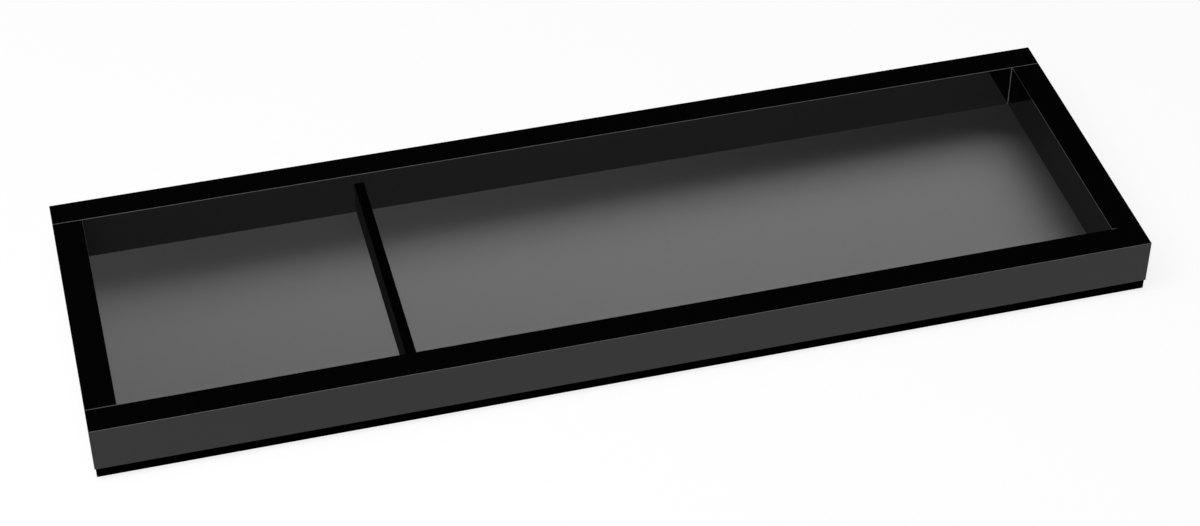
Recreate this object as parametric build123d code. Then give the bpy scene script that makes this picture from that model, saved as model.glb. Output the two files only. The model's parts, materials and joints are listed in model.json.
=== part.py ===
from build123d import *
import os

# Two-compartment pen tray, cemented together from acrylic bars on a base plate, in millimetres.
# X runs along the tray, with the small compartment at -X. Y runs from the front to the back.
# Z is up, and the origin is on the desk under the middle of the tray.

# Frame of four bars standing on edge
tray_length = 280.0
tray_width = 89.5
rail_thickness = 8.0  # front and back rails, which run the full length
end_wall_thickness = 8.0  # end walls, which butt between the rails
frame_height = 13.0
edge_break = 0.1  # chamfer scraped along each edge that shows

# Base plate under the frame, whose top is the floor of the tray
base_thickness = 3.0
base_setback = 0.3  # from the outside of the frame in to the plate's edge

# Strip that stands between the rails and closes off the small compartment
small_compartment_length = 73.5
divider_thickness = 2.7
divider_height = 10.0

# Stick-on rubber feet
foot_diameter = 8.0
foot_height = 1.6
foot_rounding = 0.4  # round at the edge of the face that stands on the desk
foot_setback = 14.0  # from the plate's edges in to the middle of a foot

# Levels and places that follow from the sizes above
floor_level = foot_height + base_thickness
inner_width = tray_width - 2 * rail_thickness
plate_length = tray_length - 2 * base_setback
plate_width = tray_width - 2 * base_setback
rail_offset = (tray_width - rail_thickness) / 2
end_wall_offset = (tray_length - end_wall_thickness) / 2
small_compartment_start = -tray_length / 2 + end_wall_thickness
divider_offset = small_compartment_start + small_compartment_length + divider_thickness / 2
foot_offset_x = plate_length / 2 - foot_setback
foot_offset_y = plate_width / 2 - foot_setback


def bar(size_x, size_y, size_z, bottom):
    """A rectangular bar, centred in X and Y, standing at the height given."""
    standing = (Align.CENTER, Align.CENTER, Align.MIN)
    return Pos(0, 0, bottom) * Box(size_x, size_y, size_z, align=standing)


def base_plate():
    """The plate, with its upper edges left sharp where the frame stands on it."""
    plate = bar(plate_length, plate_width, base_thickness, foot_height)
    top_edges = plate.faces().sort_by(Axis.Z)[-1].edges()
    return chamfer(plate.edges() - top_edges, edge_break)


def rail(side):
    """A rail at the front (side -1) or the back (side 1), sharp only where it meets the floor."""
    blank = bar(tray_length, rail_thickness, frame_height, floor_level)
    along = blank.edges().filter_by(Axis.X)
    inner_edges = along.group_by(Axis.Y)[0 if side > 0 else -1]
    floor_edge = inner_edges.sort_by(Axis.Z)[:1]
    return Pos(0, side * rail_offset, 0) * chamfer(blank.edges() - floor_edge, edge_break)


def end_wall(side):
    """An end wall at the left (side -1) or the right (side 1), sharp where it meets other pieces."""
    blank = bar(end_wall_thickness, inner_width, frame_height, floor_level)
    top_edges = blank.faces().sort_by(Axis.Z)[-1].edges()
    outer_edges = blank.faces().sort_by(Axis.X)[0 if side < 0 else -1].edges()
    shown = top_edges + [edge for edge in outer_edges if edge not in top_edges]
    return Pos(side * end_wall_offset, 0, 0) * chamfer(shown, edge_break)


def divider():
    """The strip between the rails, with its two long upper edges broken."""
    strip = bar(divider_thickness, inner_width, divider_height, floor_level)
    top_edges = strip.faces().sort_by(Axis.Z)[-1].edges().filter_by(Axis.Y)
    return Pos(divider_offset, 0, 0) * chamfer(top_edges, edge_break)


def foot(side_x, side_y):
    """A round foot stuck under one corner of the base plate."""
    standing = (Align.CENTER, Align.CENTER, Align.MIN)
    pad = Cylinder(foot_diameter / 2, foot_height, align=standing)
    desk_edge = pad.edges().sort_by(Axis.Z)[:1]
    return Pos(side_x * foot_offset_x, side_y * foot_offset_y, 0) * fillet(desk_edge, foot_rounding)


pieces = {
    "base_plate": base_plate(),
    "front_rail": rail(-1),
    "back_rail": rail(1),
    "left_end_wall": end_wall(-1),
    "right_end_wall": end_wall(1),
    "divider": divider(),
}
for depth_name, side_y in (("front", -1), ("back", 1)):
    for side_name, side_x in (("left", -1), ("right", 1)):
        pieces[f"foot_{depth_name}_{side_name}"] = foot(side_x, side_y)

os.makedirs("parts", exist_ok=True)
for name, piece in pieces.items():
    piece.label = name
    export_step(piece, f"parts/{name}.step")
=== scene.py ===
import bpy
import json
import math
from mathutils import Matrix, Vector


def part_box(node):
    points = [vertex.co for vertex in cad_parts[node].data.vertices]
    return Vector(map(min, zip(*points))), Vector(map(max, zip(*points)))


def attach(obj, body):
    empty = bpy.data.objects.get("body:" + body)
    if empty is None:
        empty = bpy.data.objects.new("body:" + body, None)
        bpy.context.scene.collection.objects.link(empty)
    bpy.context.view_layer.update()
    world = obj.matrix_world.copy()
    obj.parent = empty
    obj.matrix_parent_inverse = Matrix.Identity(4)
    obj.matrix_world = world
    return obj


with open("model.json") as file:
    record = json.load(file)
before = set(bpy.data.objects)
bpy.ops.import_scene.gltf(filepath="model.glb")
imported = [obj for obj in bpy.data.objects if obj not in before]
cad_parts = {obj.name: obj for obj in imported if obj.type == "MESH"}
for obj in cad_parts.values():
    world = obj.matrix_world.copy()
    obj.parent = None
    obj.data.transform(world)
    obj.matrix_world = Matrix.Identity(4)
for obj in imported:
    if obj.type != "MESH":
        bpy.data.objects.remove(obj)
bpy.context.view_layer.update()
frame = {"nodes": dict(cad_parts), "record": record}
mm = 0.001
acrylicIor = 1.49
flatFace = 0.9  # a flat face's normal is nearer to an axis than this, a scraped edge's isn't
print("frame loaded with", len(frame["nodes"]), "nodes")


class Sock:
    # a node socket whose Python operators add Math nodes
    def __init__(self, tree, socket=None):
        self.tree = tree
        self.socket = socket

    def node(self, kind, settings=None, inputs=None, out=0):
        made = self.tree.nodes.new(kind)
        for name, value in (settings or {}).items():
            setattr(made, name, value)
        for name, value in (inputs or {}).items():
            if isinstance(value, Sock):
                self.tree.links.new(value.socket, made.inputs[name])
            else:
                made.inputs[name].default_value = value
        return Sock(self.tree, made.outputs[out] if made.outputs else None)

    def maths(self, operation, first, second):
        return self.node("ShaderNodeMath", {"operation": operation}, {0: first, 1: second})

    def __add__(self, other):
        return self.maths("ADD", self, other)

    def __radd__(self, other):
        return self.maths("ADD", other, self)

    def __sub__(self, other):
        return self.maths("SUBTRACT", self, other)

    def __rsub__(self, other):
        return self.maths("SUBTRACT", other, self)

    def __mul__(self, other):
        return self.maths("MULTIPLY", self, other)

    def __rmul__(self, other):
        return self.maths("MULTIPLY", other, self)

    def __gt__(self, other):
        return self.maths("GREATER_THAN", self, other)

    def __abs__(self):
        return self.node("ShaderNodeMath", {"operation": "ABSOLUTE"}, {0: self})


def newMaterial(name):
    made = bpy.data.materials.new(name)
    made.use_nodes = True
    made.node_tree.nodes.clear()
    return made, Sock(made.node_tree)


def noise(graph, scale, detail=2.0, stretch=(1, 1, 1)):
    # scale is in repeats to the metre
    place = graph.node("ShaderNodeTexCoord", out="Object")
    spread = graph.node("ShaderNodeMapping", None, {"Vector": place, "Scale": stretch})
    return graph.node("ShaderNodeTexNoise", None, {"Vector": spread, "Scale": scale, "Detail": detail})


def ramp(graph, value, low, high, toLow, toHigh):
    settings = {"interpolation_type": "SMOOTHSTEP"}
    inputs = {"Value": value, "From Min": low, "From Max": high, "To Min": toLow, "To Max": toHigh}
    return graph.node("ShaderNodeMapRange", settings, inputs)


def blotches(graph, scale, detail=3.0, span=(0.3, 0.7), stretch=(1, 1, 1)):
    # noise drawn out to run from 0 to 1
    return ramp(graph, noise(graph, scale, detail, stretch), *span, 0, 1)


def bump(graph, height, depth):
    return graph.node("ShaderNodeBump", None, {"Height": height, "Strength": 1.0, "Distance": depth})


def faceNormal(graph):
    # absolute x, y and z of the face's normal
    normal = graph.node("ShaderNodeNewGeometry", out="Normal")
    return [abs(graph.node("ShaderNodeSeparateXYZ", None, {0: normal}, out=axis)) for axis in range(3)]


def grey(level):
    return (level, level, level, 1.0)


def mixColour(graph, mask, first, second):
    made = {"Factor": mask, 6: first, 7: second}
    return graph.node("ShaderNodeMix", {"data_type": "RGBA"}, made, out=2)


def shades(graph, mask, level, spread):
    # greys on both sides of a level, up to a share of it away
    return mixColour(graph, mask, grey(level * (1 - spread)), grey(level * (1 + spread)))


# polished black bars: deep black faces under a clear gloss, with scraped edges; the sides painted a touch
# lighter than the tops as painted light, and the scraped edges painted pale as highlight lines
wallLow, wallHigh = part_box("right_end_wall")
frameLook = {
    # tops darker than sides: a painted split of light and shade
    "top": 0.0007,
    "side": 0.001,
    "haze": 0.2,
    "hazeScale": 35,
    # pale edge colour: a painted highlight along the scraped edges
    "edge": 0.06,
    "roughness": 0.035,
    "edgeRoughness": 0.28,
    "wipeMarks": 0.04,
    "wipeScale": 60,
    "wipeDetail": 4.0,
    "wipeSpan": (0.45, 0.75),
    "wipeStretch": (1, 3, 3),
    "waveScale": 70,
    "waveDepth": 0.01 * mm,
    "gloss": 1.0,
    "coat": 0.0,
    "innerCoat": 0.0,  # on the sides that face the middle
    "coatIor": 1.77,
    "coatWear": 0.03,
    "rimTilt": 0.3,  # edges along the rim tilt up by more than this
    # places on the right end wall's rim where the painted edge highlight fades out, and the share of it
    # left there
    "fadedHighlightReach": (5.5 * mm, 7.5 * mm),
    "fadedEdgeHighlights": [
        ((wallHigh[0] - 0.5 * mm, wallLow[1], wallHigh[2]), 0.0),  # front joint, but for its inner end
        ((wallLow[0], wallHigh[1] - 9 * mm, wallHigh[2]), 0.35),  # inner edge near the back rail
    ],
}
# the gloss of the end walls is a coat
endWallLook = dict(frameLook, gloss=0.0, coat=1.0, innerCoat=0.36)
# the divider is dull, but for its side that faces the middle; its sides are painted grey against its black
# top as a painted reflection, and its edges get no painted highlight
dividerLook = dict(frameLook, side=0.0115, edge=0.0007, gloss=0.0, innerCoat=0.6)


def glossAcrylic(name, look):
    made, graph = newMaterial(name)
    place = graph.node("ShaderNodeTexCoord", out="Object")
    x, y, z = faceNormal(graph)
    widest = graph.maths("MAXIMUM", graph.maths("MAXIMUM", x, y), z)
    broken = 1 - (widest > flatFace)
    alongRim = z > look["rimTilt"]
    edgeHighlightKept = 1
    for middle, left in look["fadedEdgeHighlights"]:
        settings = {"operation": "DISTANCE"}
        away = graph.node("ShaderNodeVectorMath", settings, {0: place, 1: middle}, out="Value")
        edgeHighlightKept = edgeHighlightKept * (1 - ramp(graph, away, *look["fadedHighlightReach"], 1 - left, 0) * alongRim)
    # edge mask: the scraped edges, which carry the painted highlight colour
    edge = broken * edgeHighlightKept
    side = shades(graph, blotches(graph, look["hazeScale"]), look["side"], look["haze"])
    # sides lighter than tops by the face's normal: painted light
    paintedFaceTone = mixColour(graph, z > flatFace, side, grey(look["top"]))
    wipes = blotches(graph, look["wipeScale"], look["wipeDetail"], look["wipeSpan"], look["wipeStretch"])
    scraped = edge * (look["edgeRoughness"] - look["roughness"])
    inputs = {
        "Base Color": mixColour(graph, edge, paintedFaceTone, grey(look["edge"])),
        "Roughness": wipes * look["wipeMarks"] + look["roughness"] + scraped,
        "IOR": acrylicIor,
        "Specular IOR Level": look["gloss"],
        "Coat Roughness": look["roughness"],
        "Coat IOR": look["coatIor"],
        "Normal": bump(graph, noise(graph, look["waveScale"]), look["waveDepth"]),
    }
    if look["innerCoat"]:
        normal = graph.node("ShaderNodeNewGeometry", out="Normal")
        across = graph.node("ShaderNodeSeparateXYZ", None, {0: normal}, out="X")
        inward = 0 - across * graph.node("ShaderNodeSeparateXYZ", None, {0: place}, out="X")
        layer = (inward > mm) * (look["innerCoat"] - look["coat"]) + look["coat"]
        inputs["Coat Weight"] = layer * (1 - broken * (1 - edgeHighlightKept)) * (1 - wipes * look["coatWear"])
    shader = graph.node("ShaderNodeBsdfPrincipled", None, inputs)
    graph.node("ShaderNodeOutputMaterial", None, {"Surface": shader})
    return made


# base plate: sanded satin top and bottom faces; its edges near black and without gloss
satinLook = {
    "floor": 0.03,
    "mottle": 0.04,
    "mottleScale": 25,
    "roughness": 0.6,
    "grain": 0.06,
    "grainScale": 4000,
    "grainDepth": 0.004 * mm,
    "blackEdge": 0.0003,
    "sawnRoughness": 0.7,
    "sawnGrain": 0.3,
    "sawnGloss": 0.0,
}


def satinAcrylic():
    made, graph = newMaterial("satinAcrylic")
    grain = noise(graph, satinLook["grainScale"])
    uneven = grain - 0.5  # the noise lies about 0.5
    mottle = blotches(graph, satinLook["mottleScale"])
    floor = graph.node("ShaderNodeBsdfPrincipled", None, {
        "Base Color": shades(graph, mottle, satinLook["floor"], satinLook["mottle"]),
        "Roughness": satinLook["roughness"] + satinLook["grain"] * uneven,
        "IOR": acrylicIor,
        "Normal": bump(graph, grain, satinLook["grainDepth"]),
    })
    # the edges: near black, far darker than the faces, with no specular
    blackEdge = graph.node("ShaderNodeBsdfPrincipled", None, {
        "Base Color": grey(satinLook["blackEdge"]),
        "Roughness": satinLook["sawnRoughness"] + satinLook["sawnGrain"] * uneven,
        "Specular IOR Level": satinLook["sawnGloss"],
    })
    sanded = faceNormal(graph)[2] > flatFace
    shader = graph.node("ShaderNodeMixShader", None, {0: sanded, 1: blackEdge, 2: floor})
    graph.node("ShaderNodeOutputMaterial", None, {"Surface": shader})
    return made


# stick-on feet: dark rubber with a paler bloom
footLook = {
    "rubber": 0.025,
    "bloom": 0.04,
    "bloomScale": 600,
    "bloomSpan": (0.35, 0.7),
    "bloomRoughness": 0.1,
    "roughness": 0.75,
    "poreScale": 5000,
    "poreDepth": 0.02 * mm,
}


def footRubber():
    made, graph = newMaterial("footRubber")
    bloom = blotches(graph, footLook["bloomScale"], span=footLook["bloomSpan"])
    shader = graph.node("ShaderNodeBsdfPrincipled", None, {
        "Base Color": mixColour(graph, bloom, grey(footLook["rubber"]), grey(footLook["bloom"])),
        "Roughness": footLook["roughness"] + footLook["bloomRoughness"] * bloom,
        "Normal": bump(graph, noise(graph, footLook["poreScale"]), footLook["poreDepth"]),
    })
    graph.node("ShaderNodeOutputMaterial", None, {"Surface": shader})
    return made


finishes = {
    "gloss_acrylic": glossAcrylic("glossAcrylic", frameLook),
    "satin_acrylic": satinAcrylic(),
    "foot_rubber": footRubber(),
}
endWallFinish = glossAcrylic("endWallAcrylic", endWallLook)
ownFinishes = {
    "left_end_wall": endWallFinish,
    "right_end_wall": endWallFinish,
    "divider": glossAcrylic("dividerAcrylic", dividerLook),
}
for part in frame["record"]["subparts"]:
    node = frame["nodes"][part["node"]]
    node.data.materials.clear()
    node.data.materials.append(ownFinishes.get(part["node"], finishes[part["material_slot"]]))
frame["nodes"]["divider"].visible_glossy = False  # the rails don't mirror the divider
print("finishes on the CAD nodes")

# cement beads: thin hollow fillets in the inner corners at the right end wall, their pale colour partly the
# cement's own and partly a painted highlight line
beadLook = {
    "leg": 0.22 * mm,
    "lip": 0.02 * mm,
    "belowRim": 0.25 * mm,
    "hollow": 0.12,  # bevel profile, concave below 0.25
    "steps": 6,
    "smoothing": math.radians(40),
    # pale grey: partly a painted highlight along the corners
    "colour": 0.085,
    "cloud": 0.3,
    "cloudScale": 900,
    "cloudRoughness": 0.1,
    "roughness": 0.15,
}


def beadCement():
    made, graph = newMaterial("beadCement")
    cloud = blotches(graph, beadLook["cloudScale"])
    shader = graph.node("ShaderNodeBsdfPrincipled", None, {
        "Base Color": shades(graph, cloud, beadLook["colour"], beadLook["cloud"]),
        "Roughness": beadLook["roughness"] + beadLook["cloudRoughness"] * cloud,
        "IOR": acrylicIor,
    })
    graph.node("ShaderNodeOutputMaterial", None, {"Surface": shader})
    return made


def cornerBead(height):
    # its corner is on the Z axis, and it fills towards -X and -Y
    leg = beadLook["leg"]
    bpy.ops.object.select_all(action="DESELECT")
    bpy.ops.mesh.primitive_cube_add(size=1, location=(-leg / 2, -leg / 2, height / 2))
    bead = bpy.context.object
    bead.scale = (leg, leg, height)
    bpy.ops.object.transform_apply(location=True, rotation=True, scale=True)
    bpy.ops.object.mode_set(mode="EDIT")
    bpy.ops.mesh.select_mode(type="EDGE")
    bpy.ops.mesh.select_all(action="DESELECT")
    bpy.ops.object.mode_set(mode="OBJECT")
    for edge in bead.data.edges:
        ends = [bead.data.vertices[index].co for index in edge.vertices]
        edge.select = all(max(end.x, end.y) < -leg / 2 for end in ends)
    bpy.ops.object.mode_set(mode="EDIT")
    width = leg - beadLook["lip"]
    bpy.ops.mesh.bevel(offset=width, segments=beadLook["steps"], profile=beadLook["hollow"], affect="EDGES")
    bpy.ops.object.mode_set(mode="OBJECT")
    bpy.ops.object.shade_smooth_by_angle(angle=beadLook["smoothing"])
    return bead


def cementBeads():
    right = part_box("right_end_wall")[0][0]
    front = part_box("front_rail")[1][1]
    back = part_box("back_rail")[0][1]
    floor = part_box("base_plate")[1][2]
    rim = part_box("back_rail")[1][2]
    first = cornerBead(rim - beadLook["belowRim"] - floor)
    beads = []
    for y, turn in ((back, 0), (front, -math.pi / 2)):
        bead = first.copy()
        bead.data = first.data.copy()
        bpy.context.collection.objects.link(bead)
        bead.rotation_euler.z = turn
        bead.location = (right, y, floor)
        beads.append(bead)
    bpy.data.objects.remove(first)
    bpy.ops.object.select_all(action="DESELECT")
    for bead in beads:
        bead.select_set(True)
    bpy.context.view_layer.objects.active = beads[0]
    bpy.ops.object.transform_apply(location=True, rotation=True, scale=True)
    bpy.ops.object.join()
    joined = bpy.context.object
    joined.name = "cementBeads"
    joined.data.materials.append(beadCement())
    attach(joined, "root")


cementBeads()
print("cement beads in the corners")

# pale floor under the tray: white to the camera, dimmer in reflections
groundLook = {
    "size": 8.0,
    "drop": 0.05 * mm,
    "colour": 0.92,
    "glow": 0.85,
    "mirrored": 0.345,
}


def paleGround():
    made, graph = newMaterial("paleGround")
    camera = graph.node("ShaderNodeLightPath", out="Is Camera Ray")
    glossy = graph.node("ShaderNodeLightPath", out="Is Glossy Ray")
    matt = graph.node("ShaderNodeBsdfDiffuse", None, {"Color": grey(groundLook["colour"])})
    level = camera + glossy * groundLook["mirrored"]
    glow = graph.node("ShaderNodeEmission", None, {"Color": grey(1.0), "Strength": level})
    share = (camera + glossy) * groundLook["glow"]
    shader = graph.node("ShaderNodeMixShader", None, {0: share, 1: matt, 2: glow})
    graph.node("ShaderNodeOutputMaterial", None, {"Surface": shader})
    return made


bpy.ops.object.select_all(action="DESELECT")
bpy.ops.mesh.primitive_plane_add(size=groundLook["size"], location=(0, 0, -groundLook["drop"]))
ground = bpy.context.object
ground.name = "ground"
ground.data.materials.append(paleGround())
print("ground laid")

# soft light: a high lamp at the front left for all but the base plate
highLampLook = {
    "centre": (-0.45, -0.4, 1.05),
    "size": (1.2, 1.0),
    "power": 20.0,
}
# lamps for the base plate alone, each cut off only by the walls named with it
floorLampLook = {
    "fill": {
        "centre": (-0.02, 0.03, 0.08),
        "aim": (-0.02, 0.03, 0),
        "size": (0.14, 0.14),
        "power": 0.045,
        "mirrored": False,
        "walls": ["right_end_wall"],
    },
    "leftPanel": {
        "centre": (-0.969, 0.928, 0.401),
        "size": (0.644, 0.66),
        "power": 35.5,
        "walls": ["right_end_wall"],
    },
    "frontPanel": {
        "centre": (0.25, -1.05, 0.8),
        "size": (1.9, 0.65),
        "power": 19.5,
        "walls": ["back_rail"],
    },
    "backPanel": {
        "centre": (0.669, 0.957, 0.773),
        "size": (2.178, 0.634),
        "power": 37.2,
        "roll": 5,
        "walls": ["back_rail", "right_end_wall"],
    },
}


def softbox(name, centre, size, power, aim=(0, 0, 0), roll=0):
    bpy.ops.object.light_add(type="AREA", location=centre)
    lamp = bpy.context.object
    lamp.name = name
    lamp.rotation_euler = (Vector(centre) - Vector(aim)).to_track_quat("Z", "Y").to_euler()
    lamp.rotation_euler.rotate_axis("Z", math.radians(roll))
    lamp.data.shape = "RECTANGLE"
    lamp.data.size, lamp.data.size_y = size
    lamp.data.energy = power
    lamp.visible_camera = False
    return lamp


def linkSet(name, nodes, state="INCLUDE"):
    made = bpy.data.collections.new(name)
    for node in nodes:
        made.objects.link(frame["nodes"][node])
    for member in made.collection_objects:
        member.light_linking.link_state = state
    return made


def highLamp():
    lamp = softbox("highLamp", **highLampLook)
    lamp.visible_glossy = False
    lamp.light_linking.receiver_collection = linkSet("allButFloor", ["base_plate"], "EXCLUDE")


def floorLamp(name, walls, mirrored=True, **place):
    # shows only as a sheen, or only as plain light
    lamp = softbox(name, **place)
    lamp.visible_diffuse = not mirrored
    lamp.visible_glossy = mirrored
    lamp.light_linking.receiver_collection = linkSet(name + "Floor", ["base_plate"])
    lamp.light_linking.blocker_collection = linkSet(name + "Walls", walls)


highLamp()
for name, look in floorLampLook.items():
    floorLamp(name, **look)

# room: white to the camera, dim to the rest, and in reflections bright in front and dark behind
roomLook = {
    "dim": 0.05,
    "front": 0.45,
    "back": 0.004,
    "turn": (-0.5, 0.1),  # from front to back, by the Y of the direction
}


def room():
    world = bpy.data.worlds.new("room")
    world.use_nodes = True
    world.node_tree.nodes.clear()
    bpy.context.scene.world = world
    graph = Sock(world.node_tree)
    camera = graph.node("ShaderNodeLightPath", out="Is Camera Ray")
    glossy = graph.node("ShaderNodeLightPath", out="Is Glossy Ray")
    way = graph.node("ShaderNodeTexCoord", out="Generated")
    depth = graph.node("ShaderNodeSeparateXYZ", None, {0: way}, out="Y")
    mirrored = ramp(graph, depth, *roomLook["turn"], roomLook["front"], roomLook["back"])
    level = camera + glossy * mirrored + (1 - camera) * (1 - glossy) * roomLook["dim"]
    shader = graph.node("ShaderNodeBackground", None, {"Color": grey(1.0), "Strength": level})
    graph.node("ShaderNodeOutputWorld", None, {"Surface": shader})


room()
print("lamps and room lit")

# camera from the photograph's place
cameraLook = {
    "target": (-2.85 * mm, -15.45 * mm, 17.6 * mm),
    "azimuth": -14.472,
    "elevation": 41.029,
    "roll": -0.178,
    "distance": 727.1 * mm,
    "focal": 83.3,
    "sensor": 36.0,
    "nearest": 10 * mm,
}


def placeCamera(target, azimuth, elevation, roll, distance, focal, sensor, nearest):
    bpy.ops.object.camera_add()
    camera = bpy.context.object
    turn = math.radians(azimuth)
    rise = math.radians(elevation)
    back = Vector((math.sin(turn) * math.cos(rise), -math.cos(turn) * math.cos(rise), math.sin(rise)))
    camera.location = Vector(target) + distance * back
    camera.rotation_euler = back.to_track_quat("Z", "Y").to_euler()
    camera.rotation_euler.rotate_axis("Z", math.radians(roll))
    camera.data.lens = focal
    camera.data.sensor_width = sensor
    camera.data.clip_start = nearest
    bpy.context.scene.camera = camera


placeCamera(**cameraLook)
bpy.context.scene.view_settings.view_transform = "Standard"
print("camera placed")
